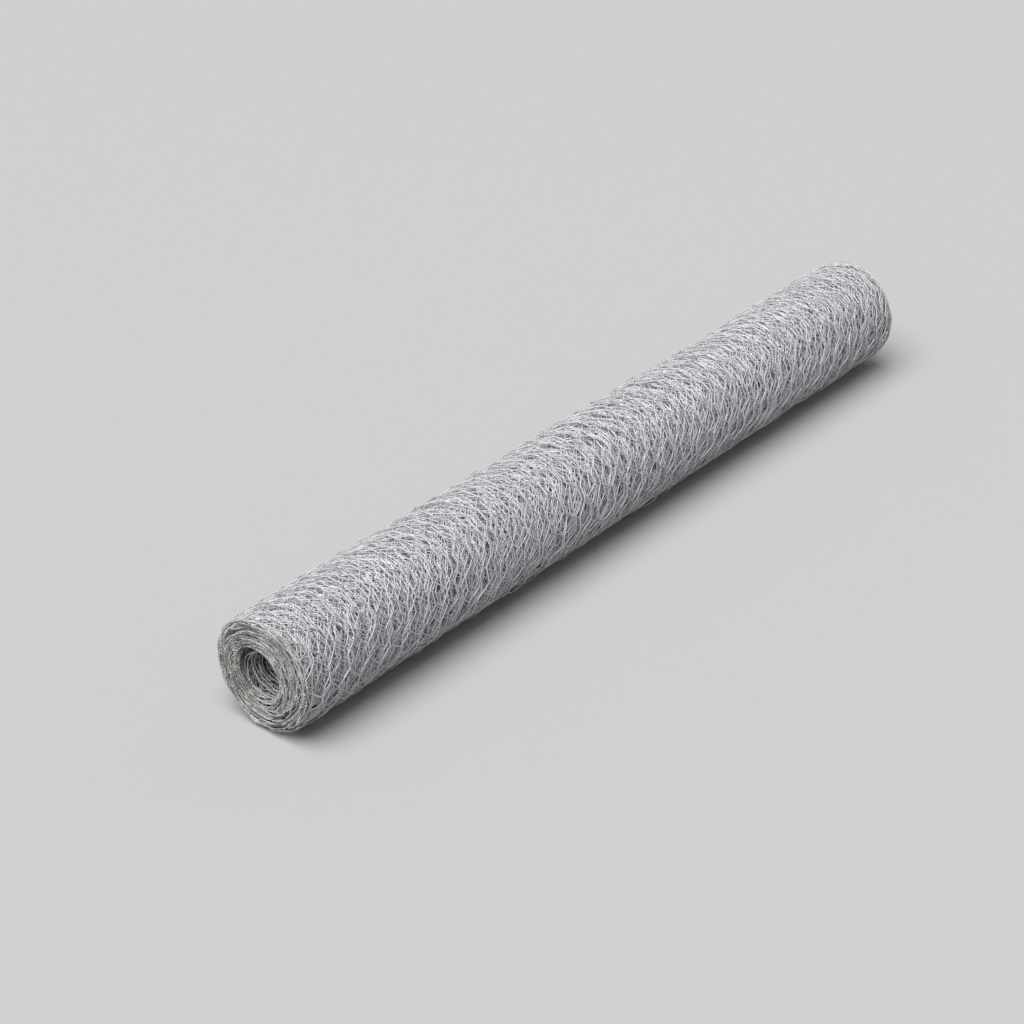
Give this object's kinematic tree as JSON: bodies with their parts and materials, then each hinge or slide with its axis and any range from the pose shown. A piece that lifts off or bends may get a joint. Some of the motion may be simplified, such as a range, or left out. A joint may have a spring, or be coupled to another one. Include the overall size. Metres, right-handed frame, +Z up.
{
  "type": "roll of hexagonal wire netting",
  "caption": "Roll of galvanised hexagonal wire netting (chicken wire) lying on its side, wound round an open core, with the edge of each turn showing on its ends and the innermost turns drawn in.",
  "frame": {"origin": "on the floor, under the middle of the roll as it lies on its side", "axes": "+X along the roll's axis, +Y across it, +Z up"},
  "size_m": [1, 0.1244, 0.1244],
  "materials": {
    "galvanised_wire": "dull galvanised zinc on drawn steel wire, light grey with darker gaps between the wires"
  },
  "bodies": {
    "root": {"netting_roll": "galvanised_wire"}
  },
  "joints": []
}
